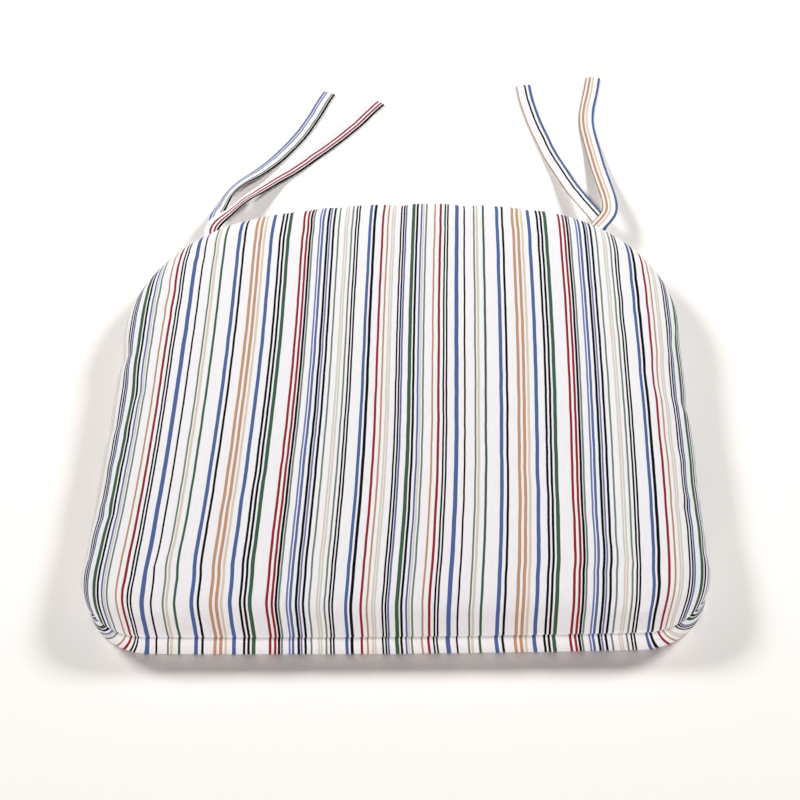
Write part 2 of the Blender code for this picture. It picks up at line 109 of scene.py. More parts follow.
def plan_columns(count):
    """Centre, radius and angle of the arc under each column, evenly spaced round the outline."""
    front = (0.0, FRONT + FRONT_RADIUS)
    back = (0.0, BACK - BACK_RADIUS)
    side = (HALF_WIDTH - SIDE_RADIUS, WIDEST)
    front_corner = meeting(front, FRONT_RADIUS - FRONT_CORNER_RADIUS,
                           side, SIDE_RADIUS - FRONT_CORNER_RADIUS, 1)
    back_corner = meeting(back, BACK_RADIUS - BACK_CORNER_RADIUS,
                          side, SIDE_RADIUS - BACK_CORNER_RADIUS, -1)
    arcs = [(front, FRONT_RADIUS, -pi / 2, heading(front, front_corner)),
            (front_corner, FRONT_CORNER_RADIUS, heading(front, front_corner), heading(side, front_corner)),
            (side, SIDE_RADIUS, heading(side, front_corner), heading(side, back_corner)),
            (back_corner, BACK_CORNER_RADIUS, heading(side, back_corner), heading(back, back_corner)),
            (back, BACK_RADIUS, heading(back, back_corner), pi / 2)]
    lengths = [radius * (end - start) for _, radius, start, end in arcs]
    ends = np.cumsum(lengths)
    half = count // 2
    columns = []
    for station in np.linspace(0, ends[-1], half + 1):
        which = min(int(np.searchsorted(ends, station)), len(arcs) - 1)
        centre, radius, start, _ = arcs[which]
        angle = start + (station - ends[which] + lengths[which]) / radius
        columns.append((centre[0], centre[1], radius, angle))
    mirrored = [(-x, y, radius, pi - angle) for x, y, radius, angle in columns[half - 1:0:-1]]
    return np.array(columns + mirrored)


PLAN = plan_columns(COLUMNS)
OUTWARD = np.column_stack([np.cos(PLAN[:, 3]), np.sin(PLAN[:, 3])])


def plan_ring(inset):
    """(x, y) of every column, moved in by inset, or shrunk to the middle past SHRINK_FROM."""
    true_inset = min(inset, SHRINK_FROM)
    points = PLAN[:, :2] + (PLAN[:, 2:3] - true_inset) * OUTWARD
    if inset > SHRINK_FROM:
        points = points * (BACK - inset) / (BACK - SHRINK_FROM)
    return points


def upper_section(rows=18, inner=12):
    """(inset, height) from the seam, over the rolled edge, to the middle of the top."""
    section = []
    for step in range(rows + 1):
        angle = pi / 2 * step / rows
        section.append((ROLL_WIDTH * (1 - cos(angle) ** (2 / ROLL_POWER)),
                        EDGE_RISE * sin(angle) ** (2 / ROLL_POWER)))
    for share in np.linspace(1, 0, inner + 1)[1:]:
        section.append((BACK - share * (BACK - ROLL_WIDTH), EDGE_RISE))
    risen = []
    for inset, height in section:
        middle = max(0.0, (inset - SHRINK_FROM) / (BACK - SHRINK_FROM))
        risen.append((inset, SEAM + height + CROWN * (1 - (1 - middle) ** 2)))
    return np.array(risen)


def lower_section(inner=6):
    """(inset, height) from the seam, down the side, to the middle of the underside."""
    flat = TUCK + BOTTOM_FILLET
    section = [(0.0, SEAM)]
    for share in (0.12, 0.3, 0.5, 0.7, 0.85):
        section.append((0.8 * TUCK * share, SEAM + share * (BOTTOM_FILLET - SEAM)))
    for step in range(5):
        angle = pi / 2 * step / 4
        section.append((flat - BOTTOM_FILLET * cos(angle), BOTTOM_FILLET * (1 - sin(angle))))
    for inset in (0.012, 0.022, SHRINK_FROM):
        section.append((inset, 0.0))
    for share in np.linspace(1, 0, inner + 1)[1:]:
        section.append((BACK - share * (BACK - SHRINK_FROM), 0.0))
    return np.array(section)


UPPER, LOWER = upper_section(), lower_section()


def travel(section):
    """Distance along a section from the seam."""
    return np.concatenate([[0], np.cumsum(np.linalg.norm(np.diff(section, axis=0), axis=1))])


def rings(section):
    return np.array([np.column_stack([plan_ring(inset), np.full(COLUMNS, height)])
                     for inset, height in section])


def fabric_position(section, seam_reach, side):
    """Flat cloth position of every point: the plan outwards along each column's own direction.

    seam_reach is how far outside the ring at SHRINK_FROM the seam lies on the flat cloth. The two
    panels are cut alike, so below the seam (side -1) the cloth runs back inwards from the same place.
    """
    base = plan_ring(SHRINK_FROM)
    run = travel(section)
    limit = np.searchsorted(section[:, 0], SHRINK_FROM + 1e-9)
    rows = []
    for index, (inset, _) in enumerate(section):
        if index < limit or side > 0 and inset <= SHRINK_FROM:
            rows.append(base + (seam_reach - run[index]) * OUTWARD)
        else:
            edge = base + (seam_reach - run[limit - 1]) * OUTWARD
            start = section[limit - 1, 0]
            rows.append(edge * (BACK - inset) / (BACK - start))
    return np.array(rows)


UPPER_RUN = travel(UPPER)
SEAM_REACH = float(np.interp(SHRINK_FROM, UPPER[:, 0], UPPER_RUN))


# ------------------------------------------------------------------ shader building

PALETTE = {                    # dyed yarns, scene-linear
    ".": (0.86, 0.845, 0.87), "K": (0.006, 0.005, 0.009), "G": (0.042, 0.105, 0.058),
    "L": (0.140, 0.200, 0.160), "B": (0.060, 0.115, 0.300), "P": (0.080, 0.125, 0.325),
    "Q": (0.140, 0.175, 0.375), "R": (0.270, 0.003, 0.011), "T": (0.500, 0.270, 0.150),
    "O": (0.460, 0.240, 0.120), "C": (0.650, 0.565, 0.430), "D": (0.630, 0.590, 0.520),
}
# One repeat of the warp, as yarn and number of threads. G green, L pale green, K black, B broad
# blue, P and Q periwinkles, R red, T and O tans, C and D creams, and a dot for white.
WARP_PLAN = """
G6 .2 K4 .4 P3 .1 D3 .2 L3 .13 O3 .7 R4 .5 K3 .2 K3 .12 B7 .9 K3 .15 L3 .2 C4 .8 G4 .21 B6 .5 K4 .15
T5 .4 T5 .3 C4 .8 B6 .11 K4 .3 K4 .3 G6 .21 R4 .4 R4 .2 K4 .1 L3 .9 Q3 .2 P4 .5 K4 .1 Q3 .3 K4 .6 L3
.9 D3 .1 D3 .5 L3 .4 K3 .2 K3 .17 B5 .3 K5 .11 R4 .6 O3 .5 D3 .1 D3 .9 K3 .2 K3 .1 P3 .9
"""
# The weft spots are painted greyer than white weft: painted shade in the weave's hollows.
WEFT_SEEN = 0.35               # share of white weft seen over a yarn of full brightness; none over black
RAMP_THREADS = 48              # threads shown by one colour ramp
THREAD_WANDER = 0.0008         # width of the band in which a thread wanders
AGEING = 0.16                  # share of the faint soiling laid over the cotton


def warp_threads():
    """The yarn of every thread in one repeat."""
    return "".join(item[0] * int(item[1:]) for item in WARP_PLAN.split())


class Nodes:
    """Short ways to add nodes to one tree."""

    def __init__(self, tree):
        self.tree = tree

    def add(self, kind, settings=None, **inputs):
        made = self.tree.nodes.new(kind)
        for name, value in (settings or {}).items():
            setattr(made, name, value)
        for name, value in inputs.items():
            self.put(made.inputs[name.replace("_", " ")], value)
        return made

    def put(self, socket, value):
        if isinstance(value, bpy.types.NodeSocket):
            self.tree.links.new(value, socket)
        else:
            socket.default_value = value

    def math(self, operation, a, b=0.0, clamp=False):
        made = self.tree.nodes.new("ShaderNodeMath")
        made.operation = operation
        made.use_clamp = clamp
        self.put(made.inputs[0], a)
        self.put(made.inputs[1], b)
        return made.outputs[0]

    def vector(self, operation, a, b):
        made = self.tree.nodes.new("ShaderNodeVectorMath")
        made.operation = operation
        self.put(made.inputs[0], a)
        self.put(made.inputs["Scale"] if operation == "SCALE" else made.inputs[1], b)
        return made.outputs[0]

    def mix(self, share, a, b, blend="MIX"):
        made = self.tree.nodes.new("ShaderNodeMix")
        made.data_type = "RGBA"
        made.blend_type = blend
        self.put(made.inputs[0], share)
        self.put(made.inputs[6], a)
        self.put(made.inputs[7], b)
        return made.outputs[2]

    def noise(self, vector, scale, detail=2.0):
        made = self.add("ShaderNodeTexNoise", Vector=vector, Scale=scale, Detail=detail)
        return made.outputs["Fac"]

    def ramp(self, share, stops, interpolation="LINEAR"):
        made = self.add("ShaderNodeValToRGB", Fac=share)
        made.color_ramp.interpolation = interpolation
        elements = made.color_ramp.elements
        while len(elements) > 1:
            elements.remove(elements[-1])
        for index, (place, colour) in enumerate(stops):
            element = elements[0] if index == 0 else elements.new(place)
            element.position = place
            element.color = (*colour, 1.0)
        return made.outputs["Color"]


def group(name, inputs, outputs):
    """An empty node group, with its input node's sockets and its output node."""
    tree = bpy.data.node_groups.new(name, "ShaderNodeTree")
    for label, kind in inputs:
        tree.interface.new_socket(label, in_out="INPUT", socket_type=kind)
    for label, kind in outputs:
        tree.interface.new_socket(label, in_out="OUTPUT", socket_type=kind)
    source = tree.nodes.new("NodeGroupInput")
    target = tree.nodes.new("NodeGroupOutput")
    return Nodes(tree), source.outputs, target.inputs


def warp_colour_group():
    """Thread number in, yarn colour out. One ramp can't hold the repeat, so each takes a share."""
    build, given, result = group("warp_plan", [("Thread", "NodeSocketFloat")],
                                 [("Color", "NodeSocketColor")])
    threads = warp_threads()
    place = build.math("FLOORED_MODULO", given["Thread"], float(len(threads)))
    colour = None
    for start in range(0, len(threads), RAMP_THREADS):
        part = threads[start:start + RAMP_THREADS]
        stops = [(0.0, PALETTE[part[0]])]
        for index in range(1, len(part)):
            if part[index] != part[index - 1]:
                stops.append((index / RAMP_THREADS, PALETTE[part[index]]))
        share = build.math("DIVIDE", build.math("SUBTRACT", place, float(start)), float(RAMP_THREADS))
        ramp = build.ramp(share, stops, "CONSTANT")
        if colour is None:
            colour = ramp
        else:
            colour = build.mix(build.math("GREATER_THAN", place, float(start)), colour, ramp)
    build.put(result["Color"], colour)
    return build.tree


def twill_group(warp_plan):
    """Flat cloth position in metres in, colour and height of the striped 3/1 twill out."""
    build, given, result = group("striped_twill", [("Cloth", "NodeSocketVector")],
                                 [("Color", "NodeSocketColor"), ("Height", "NodeSocketFloat")])
    split = build.add("ShaderNodeSeparateXYZ", Vector=given["Cloth"]).outputs
    # Yarn is never quite even, so the threads wander a little.
    drift = build.math("SUBTRACT", build.noise(given["Cloth"], 45.0), 0.5)
    across = build.math("ADD", split["X"], build.math("MULTIPLY", drift, THREAD_WANDER))
    thread = build.math("DIVIDE", build.math("SUBTRACT", across, PATTERN_START), END_PITCH)
    pick = build.math("DIVIDE", split["Y"], PICK_PITCH)
    yarn = build.add("ShaderNodeGroup", {"node_tree": warp_plan}, Thread=thread).outputs["Color"]
    cell = build.math("SUBTRACT", build.math("FLOOR", thread), build.math("FLOOR", pick))
    over = build.math("LESS_THAN", build.math("FLOORED_MODULO", cell, 4.0), 0.5)

    def rounded(value):
        """1 in the middle of a thread and 0 at its edges."""
        centred = build.math("ABSOLUTE", build.math("SUBTRACT", build.math("FRACT", value), 0.5))
        return build.math("SUBTRACT", 1.0, build.math("POWER", build.math("MULTIPLY", centred, 2.0), 2.5))

    warp_round, weft_round = rounded(thread), rounded(pick)
    weft = build.math("MULTIPLY", over, weft_round)
    fuzz = build.noise(build.vector("MULTIPLY", given["Cloth"], (2600.0, 700.0, 1.0)), 1.0, 2.0)
    slub = build.noise(build.vector("MULTIPLY", given["Cloth"], (2200.0, 60.0, 1.0)), 1.0, 1.0)
    tone_and_groove_shade = build.math("ADD", 0.86, build.math("MULTIPLY", build.math("ADD", fuzz, slub), 0.14))
    # Each warp thread is painted darker towards its edges, where its bump is lowest: painted shade in the
    # grooves between threads, laid over the yarn's uneven tone.
    tone_and_groove_shade = build.math("MULTIPLY", tone_and_groove_shade, build.math("ADD", 0.90, build.math("MULTIPLY", warp_round, 0.12)))
    tint = build.mix(1.0, yarn, build.add("ShaderNodeCombineColor", Red=tone_and_groove_shade, Green=tone_and_groove_shade,
                                          Blue=tone_and_groove_shade).outputs[0], "MULTIPLY")
    # The white weft spots are painted greyer than the white weft, and greyer still between dark yarns:
    # painted shade on the spots, which lie in the weave's hollows.
    value = build.add("ShaderNodeSeparateColor", {"mode": "HSV"}, Color=yarn).outputs[2]
    seen = build.math("MULTIPLY", value, WEFT_SEEN)
    colour = build.mix(build.math("MULTIPLY", weft, seen), tint, (*PALETTE["."], 1.0))
    height = build.math("ADD", build.math("MULTIPLY", warp_round, 0.6), build.math("MULTIPLY", weft, 0.5))
    build.put(result["Color"], colour)
    build.put(result["Height"], height)
    return build.tree


def material(name, roughness, metallic=0.0, **fixed):
    """A Principled material, its node helper and its shader. fixed sets more of its sockets."""
    made = bpy.data.materials.new(name)
    made.use_nodes = True
    build = Nodes(made.node_tree)
    shader = made.node_tree.nodes["Principled BSDF"]
    build.put(shader.inputs["Roughness"], roughness)
    shader.inputs["Metallic"].default_value = metallic
    for label, value in fixed.items():
        shader.inputs[label.replace("_", " ")].default_value = value
    return made, build, shader.inputs


def add_bump(build, shader, height, distance, strength=1.0):
    made = build.add("ShaderNodeBump", Height=height, Distance=distance, Strength=strength)
    build.put(shader["Normal"], made.outputs["Normal"])


def cloth_material(name, twill, span, origin=(0.0, 0.0)):
    """Striped cotton. The UV square is span metres of cloth across, with its middle at origin."""
    made, build, shader = material(name, 0.82, Sheen_Weight=0.01, Sheen_Roughness=0.5,
                                   Specular_IOR_Level=0.05)
    uv = build.add("ShaderNodeUVMap", {"uv_map": "OFBake"}).outputs["UV"]
    centred = build.vector("SUBTRACT", uv, (0.5, 0.5, 0.0))
    cloth = build.vector("ADD", build.vector("SCALE", centred, span), (*origin, 0.0))
    weave = build.add("ShaderNodeGroup", {"node_tree": twill}, Cloth=cloth).outputs
    soft = build.noise(cloth, 25.0, 3.0)
    aged = build.mix(build.math("MULTIPLY", soft, AGEING), weave["Color"],
                     (0.93, 0.90, 0.91, 1.0), "MULTIPLY")
    build.put(shader["Base Color"], aged)
    build.put(shader["Roughness"], build.math("ADD", 0.80, build.math("MULTIPLY", weave["Height"], 0.1)))
    add_bump(build, shader, weave["Height"], 0.00012, 0.7)
    return made


def plain_weave_material(name, colour, pitch, roughness=0.85):
    """A close plain weave in object space, for zip tape."""
    made, build, shader = material(name, roughness, Sheen_Weight=0.15)
    place = build.add("ShaderNodeTexCoord").outputs["Object"]
    waves = []
    for axis in "XZ":
        coordinate = build.add("ShaderNodeSeparateXYZ", Vector=place).outputs[axis]
        waves.append(build.math("SINE", build.math("MULTIPLY", coordinate, 2 * pi / pitch)))
    weave = build.math("MULTIPLY", waves[0], waves[1])
    lift = build.math("ADD", 0.5, build.math("MULTIPLY", weave, 0.5))
    # The weave's low places are painted darker, in the same pattern as the bump: painted shade in its
    # hollows.
    dark = tuple(0.72 * part for part in colour)
    build.put(shader["Base Color"], build.mix(lift, (*dark, 1.0), (*colour, 1.0)))
    add_bump(build, shader, lift, 0.0001, 0.8)
    return made


def thread_material(name, colour):
    """Twisted sewing thread, in object space."""
    made, build, shader = material(name, 0.6, Sheen_Weight=0.2)
    place = build.add("ShaderNodeTexCoord").outputs["Object"]
    strands = build.noise(place, 4200.0, 2.0)
    # Darker where the strands' bump is low: painted shade between the strands.
    dark = tuple(0.75 * part for part in colour)
    build.put(shader["Base Color"], build.mix(strands, (*dark, 1.0), (*colour, 1.0)))
    add_bump(build, shader, strands, 0.00008)
    return made


def nylon_material(name, colour):
    made, build, shader = material(name, 0.35, Specular_IOR_Level=0.5, Subsurface_Weight=0.1)
    place = build.add("ShaderNodeTexCoord").outputs["Object"]
    cloud = build.noise(place, 900.0, 2.0)
    build.put(shader["Base Color"], build.mix(cloud, tuple(0.93 * part for part in colour) + (1.0,),
                                              (*colour, 1.0)))
    build.put(shader["Roughness"], build.math("ADD", 0.28, build.math("MULTIPLY", cloud, 0.2)))
    return made


def metal_material(name, colour):
    """Plated zinc with fine brushing and small wear marks."""
    made, build, shader = material(name, 0.3, 1.0)
    place = build.add("ShaderNodeTexCoord").outputs["Object"]
    brushed = build.noise(build.vector("MULTIPLY", place, (300.0, 300.0, 9000.0)), 1.0, 3.0)
    worn = build.noise(place, 1400.0, 4.0)
    build.put(shader["Base Color"], build.mix(worn, tuple(0.8 * part for part in colour) + (1.0,),
                                              (*colour, 1.0)))
    build.put(shader["Roughness"], build.math("ADD", 0.2, build.math("MULTIPLY", worn, 0.25)))
    add_bump(build, shader, brushed, 0.00003, 0.5)
    return made


def foam_material(name):
    made, build, shader = material(name, 0.95, Subsurface_Weight=0.15)
    place = build.add("ShaderNodeTexCoord").outputs["Object"]
    cells = build.add("ShaderNodeTexVoronoi", Vector=place, Scale=1100.0).outputs["Distance"]
    # Darker towards each cell's middle, where the bump is lowest: painted shade in the foam's pores.
    build.put(shader["Base Color"], build.ramp(cells, [(0.0, (0.62, 0.50, 0.24)),
                                                       (0.6, (0.86, 0.76, 0.48))]))
    add_bump(build, shader, cells, 0.0004)
    return made


# ------------------------------------------------------------------ mesh building


def link(made):
    bpy.context.scene.collection.objects.link(made)
    return made


def grid_object(name, points, look, closed=True, flip=False, cloth=None, span=FABRIC_SPAN, keep=None):
    """Mesh over rows of points, with a UV map of the cloth. keep(row, column) leaves faces out."""
    rows, columns = points.shape[:2]
    faces = []
    around = columns if closed else columns - 1
    for row in range(rows - 1):
        for column in range(around):
            if keep is None or keep(row, column):
                after = (column + 1) % columns
                face = (row * columns + column, row * columns + after,
                        (row + 1) * columns + after, (row + 1) * columns + column)
                faces.append(face[::-1] if flip else face)
    mesh = bpy.data.meshes.new(name)
    mesh.from_pydata(points.reshape(-1, 3).tolist(), [], faces)
    if cloth is not None:
        flat = cloth.reshape(-1, 2)
        layer = mesh.uv_layers.new(name="OFBake")
        corner = np.zeros(len(mesh.loops), np.int32)
        mesh.loops.foreach_get("vertex_index", corner)
        layer.data.foreach_set("uv", (flat[corner] / span + 0.5).astype(np.float32).ravel())
    mesh.update()
    if look:
        mesh.materials.append(look)
    mesh.shade_smooth()
    return link(bpy.data.objects.new(name, mesh))


def cleaned(made):
    """Merges points in one place, such as a panel's middle, and drops those that no face uses."""
    work = bmesh.new()
    work.from_mesh(made.data)
    loose = [vertex for vertex in work.verts if not vertex.link_faces]
    bmesh.ops.delete(work, geom=loose, context="VERTS")
    bmesh.ops.remove_doubles(work, verts=work.verts, dist=1e-6)
    work.to_mesh(made.data)
    work.free()
    return made


def subdivided(made):
    """One level of subdivision, applied. It comes before the middle is merged, because a subdivision
    round a point with hundreds of edges takes minutes."""
    smooth = made.modifiers.new("smooth", "SUBSURF")
    smooth.levels = smooth.render_levels = 1
    smooth.boundary_smooth = "PRESERVE_CORNERS"
    plain = made.data
    fine = bpy.data.meshes.new_from_object(made.evaluated_get(bpy.context.evaluated_depsgraph_get()))
    made.modifiers.clear()
    made.data = fine
    bpy.data.meshes.remove(plain)
    return made


# ------------------------------------------------------------------ cover

SIM_CAP = 0.0010               # furthest a point of the cover may move
SIM_GROWTH = -0.01             # negative shrink: the cloth is a little too big for its seam
SIM_FRAMES = 20
SIM_STEP = 2                   # every second column goes into the cage
SIM_SPACING = 0.004            # least distance between the cage's rows
SIM_FADE = (0.030, 0.065)      # distances from the seam over which the ripples die out on the foam
SIM_HOLE = 0.012               # the cage stops this far from the panels' middles
SIM_PRESSURE = 1.2             # low, because foam and not air fills the cover
SIM_ZIP_BAND = 0.006           # the cage is pinned this far above and below the seam at the zip
SIM_FLAT = 1e-4                # and wherever it lies lower than this


def cage_rows(whole, seam_row):
    """Rows of the cage, both ways from the seam, none nearer than SIM_SPACING to the last."""
    gone = travel(whole[:, 0])
    picked = [seam_row]
    for step in (1, -1):
        last, row = seam_row, seam_row + step
        while 0 < row < len(whole) - 1:
            clear = np.linalg.norm(whole[row, :, :2], axis=1).min() > SIM_HOLE
            if abs(gone[row] - gone[last]) >= SIM_SPACING and clear:
                picked.append(row)
                last = row
            row += step
    return sorted(picked), gone


def simulated(cage, pinned):
    """The cage's points after the cloth simulation."""
    body = grid_object("cover_simulation", cage, None)
    pins = body.vertex_groups.new(name="pin")
    pins.add([int(index) for index in np.flatnonzero(pinned)], 1.0, "REPLACE")
    cloth = body.modifiers.new("cloth", "CLOTH")
    settings = cloth.settings
    settings.quality = 8
    settings.mass = 0.25
    settings.tension_stiffness = settings.compression_stiffness = 12
    settings.shear_stiffness = 4
    settings.bending_stiffness = 0.4
    settings.vertex_group_mass = "pin"
    settings.use_pressure = True
    settings.uniform_pressure_force = SIM_PRESSURE
    settings.shrink_min = SIM_GROWTH
    settings.effector_weights.gravity = 0
    cloth.collision_settings.use_collision = False
    cloth.point_cache.frame_end = SIM_FRAMES
    scene = bpy.context.scene
    for step in range(1, SIM_FRAMES + 1):
        scene.frame_set(step)
    shape = body.evaluated_get(bpy.context.evaluated_depsgraph_get()).data
    moved = np.zeros(len(shape.vertices) * 3, np.float32)
    shape.vertices.foreach_get("co", moved)
    scene.frame_set(1)
    bpy.data.objects.remove(body, do_unlink=True)
    return moved.reshape(cage.shape).astype(float)


def swollen(upper, lower):
    """Adds the ripples that a cloth simulation of the closed cover makes along its seam."""
    whole = np.concatenate([lower[:0:-1], upper])
    seam_row = len(lower) - 1
    picked, gone = cage_rows(whole, seam_row)
    cage = whole[picked][:, ::SIM_STEP]
    heights = cage[..., 2]
    over_zip = (cage[..., 1] > 0) & (abs(PLAN[::SIM_STEP, 3] - pi / 2) < ZIP_HALF)
    pinned = over_zip & (abs(heights - SEAM) < SIM_ZIP_BAND) | (heights < SIM_FLAT)
    pinned[picked.index(seam_row)] = True
    shift = simulated(cage, pinned.ravel()) - cage
    # The foam holds the section, so each row's average swell is taken back out and its ripples stay.
    outward = OUTWARD[::SIM_STEP]
    swell = (shift[..., :2] * outward).sum(axis=2).mean(axis=1)
    shift[..., :2] -= swell[:, None, None] * outward
    shift[..., 2] -= shift[..., 2].mean(axis=1)[:, None]
    # Back to every column and row of the fine grid.
    around = np.arange(0, COLUMNS, SIM_STEP)
    every = np.array([[np.interp(np.arange(COLUMNS), around, row[:, axis], period=COLUMNS)
                       for axis in range(3)] for row in shift])
    fine = np.array([[np.interp(gone, gone[picked], every[:, axis, column])
                      for column in range(COLUMNS)] for axis in range(3)]).transpose(2, 1, 0)
    fine *= np.interp(abs(gone - gone[seam_row]), SIM_FADE, (1, 0))[:, None, None]
    length = np.linalg.norm(fine, axis=2, keepdims=True) + 1e-9
    fine *= SIM_CAP * np.tanh(length / SIM_CAP) / length
    furthest = float(np.linalg.norm(fine, axis=2).max()) * 1000
    print("simulation moved the cover by up to", round(furthest, 2), "mm")
    whole = whole + fine
    whole[..., 2] = np.maximum(whole[..., 2], 0)          # it lies flat on its underside
    return whole[seam_row:], whole[seam_row::-1]


SEAM_GATHER = 0.023            # share by which the front seam draws the stripes together
SEAM_SHIFT = 0.0020            # and how far it carries them to the right
UPPER_GATHER = (0.026, 1.3)    # how far up the cloth the gather reaches, and how fast it fades
LOWER_GATHER = (0.022, 1.0)
SEAM_PINCH = 0.0011            # how far the seam pulls the cloth in
PINCH_REACH = 0.0012
ROWS_ABOVE = [(0.0, 0.0006), (0.0, 0.0014), (0.00002, 0.0026)]     # (inset, height over the seam) of
ROWS_BELOW = [(0.0, -0.0006), (0.0, -0.0013)]                      # the rows that carry the pinch
WINDOW_RISE = 0.0042           # half height of the gap between the panels at the zip
WINDOW_MARGIN = 0.005          # how much wider than the coils it is at each end, in radians
FRONT_SLOPE = 0.0045           # how far the front face leans in at mid height
SLOPE_TOP = 0.85               # share of the roll's rise that the slope covers

# Puckers where the side seam is eased: side, place along Y, reach up the cloth from the seam, depth.
PUCKERS = [(-1, -0.034, 0.014, 0.0026), (-1, 0.030, 0.014, 0.0030), (1, -0.018, 0.014, 0.0030),
           (-1, 0.080, 0.010, 0.0010), (1, 0.056, 0.010, 0.0010), (1, -0.085, 0.010, 0.0010)]
PUCKER_TUCK = 0.013            # a pucker tucks in gradually over this distance towards its front,
PUCKER_RELEASE = 0.0028        # and comes out again over this one
PUCKER_LEAN = 0.25             # how far it runs towards the back per metre of cloth from the seam
PUCKER_DROP = 0.25             # how far it sinks per metre that it tucks in
PUCKER_BAND = 0.07             # it reaches this far in from the side
PUCKER_CLEAR = 0.004           # and sinks only from this height above the seam


def puckered(points, run):
    """Pinches at the side seams: each tucks in slowly and is let out at a crease."""
    x, y = points[..., 0], points[..., 1]
    for side, middle, reach, depth in PUCKERS:
        past = y - middle - PUCKER_LEAN * run[:, None]
        tuck = np.where(past > 0, np.exp(-past / PUCKER_TUCK), np.exp(-(past / PUCKER_RELEASE) ** 2))
        fade = np.exp(-run / reach)[:, None]
        dent = depth * tuck * fade * (side * x > HALF_WIDTH - PUCKER_BAND)
        points[..., 0] -= side * dent
        points[..., 2] -= PUCKER_DROP * dent * (points[..., 2] > SEAM + PUCKER_CLEAR)
    return points


def sloped(points):
    """Leans the front face back: it rises in a nearly straight slope instead of a round bulge."""
    rise = np.clip((points[..., 2] - SEAM) / (SLOPE_TOP * EDGE_RISE), 0, 1)
    front = np.clip(-OUTWARD[:, 1], 0, 1) ** 3
    points[..., :2] -= (FRONT_SLOPE * np.sin(pi * rise) * front)[..., None] * OUTWARD
    return points


def seam_pinch(points, rows_run):
    """Draws the cloth into the seam, so each panel's edge turns in over the last millimetre."""
    for row, run in enumerate(rows_run):
        pull = SEAM_PINCH * np.exp(-(run / PINCH_REACH) ** 2)
        points[row, :, :2] -= pull * OUTWARD
    return points


def drawn_in(cloth, run, reach, power):
    """The front seam gathers the cloth sideways, so the stripes near it lean towards the middle."""
    near = np.clip(1 - run / reach, 0, 1) ** power
    front = np.clip(-OUTWARD[:, 1], 0, 1) ** 3
    cloth[..., 0] += near[:, None] * front * (SEAM_GATHER * cloth[..., 0] - SEAM_SHIFT)


def cover_rows():
    """Points and flat cloth positions of the two panels."""
    upper_section_rows = np.insert(UPPER, 1, [(inset, SEAM + rise) for inset, rise in ROWS_ABOVE], axis=0)
    lower_section_rows = np.insert(LOWER, 1, [(inset, SEAM + rise) for inset, rise in ROWS_BELOW], axis=0)
    upper, lower = sloped(rings(upper_section_rows)), rings(lower_section_rows)
    upper, lower = swollen(upper, lower)
    upper_run, lower_run = travel(upper_section_rows), travel(lower_section_rows)
    upper = seam_pinch(puckered(upper, upper_run), upper_run)
    lower = seam_pinch(puckered(lower, lower_run), lower_run)
    upper_cloth = fabric_position(upper_section_rows, SEAM_REACH, 1)
    lower_cloth = fabric_position(lower_section_rows, SEAM_REACH, -1)
    drawn_in(upper_cloth, upper_run, *UPPER_GATHER)
    drawn_in(lower_cloth, lower_run, *LOWER_GATHER)
    return upper, lower, upper_cloth, lower_cloth


def grained(cloth, turn, jog):
    """Cloth positions with the stripes turned a little from the pad's own axis, and bowed."""
    x, y = cloth[..., 0], cloth[..., 1]
    # The grain bows smoothly over the pad, by a cubic in x and y, and wobbles by half a millimetre.
    bow = 0.086 * y ** 2 - 0.28 * y ** 3 + 0.056 * x ** 2 - 0.14 * x ** 3 - 0.079 * x * y ** 2
    bow += 0.0035 * y - 0.0007 + 0.0005 * np.sin(x * 31 + 1.3) * np.sin(y * 23 + 0.4)
    return np.stack([x - turn * y + bow + jog, y + turn * x], axis=-1)


def make_cover(twill):
    """Both panels, open at the zip. Returns their outer points, which the foam follows."""
    upper, lower, upper_cloth, lower_cloth = cover_rows()
    look = cloth_material("striped_cotton", twill, FABRIC_SPAN)

    def outside_window(points):
        def keep(row, column):
            after = (column + 1) % COLUMNS
            in_zip = all(points[0, c, 1] > 0 and abs(PLAN[c, 3] - pi / 2) < ZIP_HALF + WINDOW_MARGIN
                         for c in (column, after))
            return not (in_zip and abs(points[row + 1, column, 2] - SEAM) < WINDOW_RISE)
        return keep

    for name, node, points, cloth, jog, side in (
            ("cover_top", "cover_top_panel", upper, upper_cloth, 0.0, 1),
            ("cover_bottom", "cover_bottom_panel", lower, lower_cloth, SEAM_JOG, -1)):
        piece = grid_object(name, points, look, flip=side < 0, cloth=grained(cloth, GRAIN_TURN, jog),
                            keep=outside_window(points))
        cleaned(subdivided(piece))
        skin = piece.modifiers.new("cloth", "SOLIDIFY")
        skin.thickness = CLOTH
        skin.offset = -1
        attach(piece, "pad")
        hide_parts(node)
    return upper, lower


FOAM_DEPTH = 0.0016            # foam below the cover's outer face
GROOVE_MOUTH = 0.012           # half height of the groove that the seam and the zip press into the foam
GROOVE_INSET = 0.0122          # depth of that groove
GROOVE_FLOOR = 0.00125         # half height of its bottom


def below_face(points, side):
    """The panel's points moved into the foam. side is 1 above the seam and -1 below it."""
    along = np.gradient(points, axis=0)
    around = np.roll(points, -1, axis=1) - np.roll(points, 1, axis=1)
    outward = side * np.cross(around, along)
    outward[-1] = (0, 0, side)
    outward /= np.linalg.norm(outward, axis=2)[..., None]
    return points - FOAM_DEPTH * outward


def make_foam(upper, lower):
    """Foam that fills the cover as it is finally shaped, with a groove along the seam."""
    above = [row for row in below_face(upper, 1) if row[:, 2].min() > SEAM + GROOVE_MOUTH]
    under = [row for row in below_face(lower, -1) if row[:, 2].max() < SEAM - GROOVE_MOUTH]
    floor = rings([(GROOVE_INSET, SEAM - GROOVE_FLOOR), (GROOVE_INSET, SEAM + GROOVE_FLOOR)])
    points = np.array(under[::-1] + list(floor) + above)
    piece = cleaned(grid_object("foam_block", points, foam_material("foam")))
    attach(piece, "pad")
    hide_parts("foam_core")


# ------------------------------------------------------------------ ties

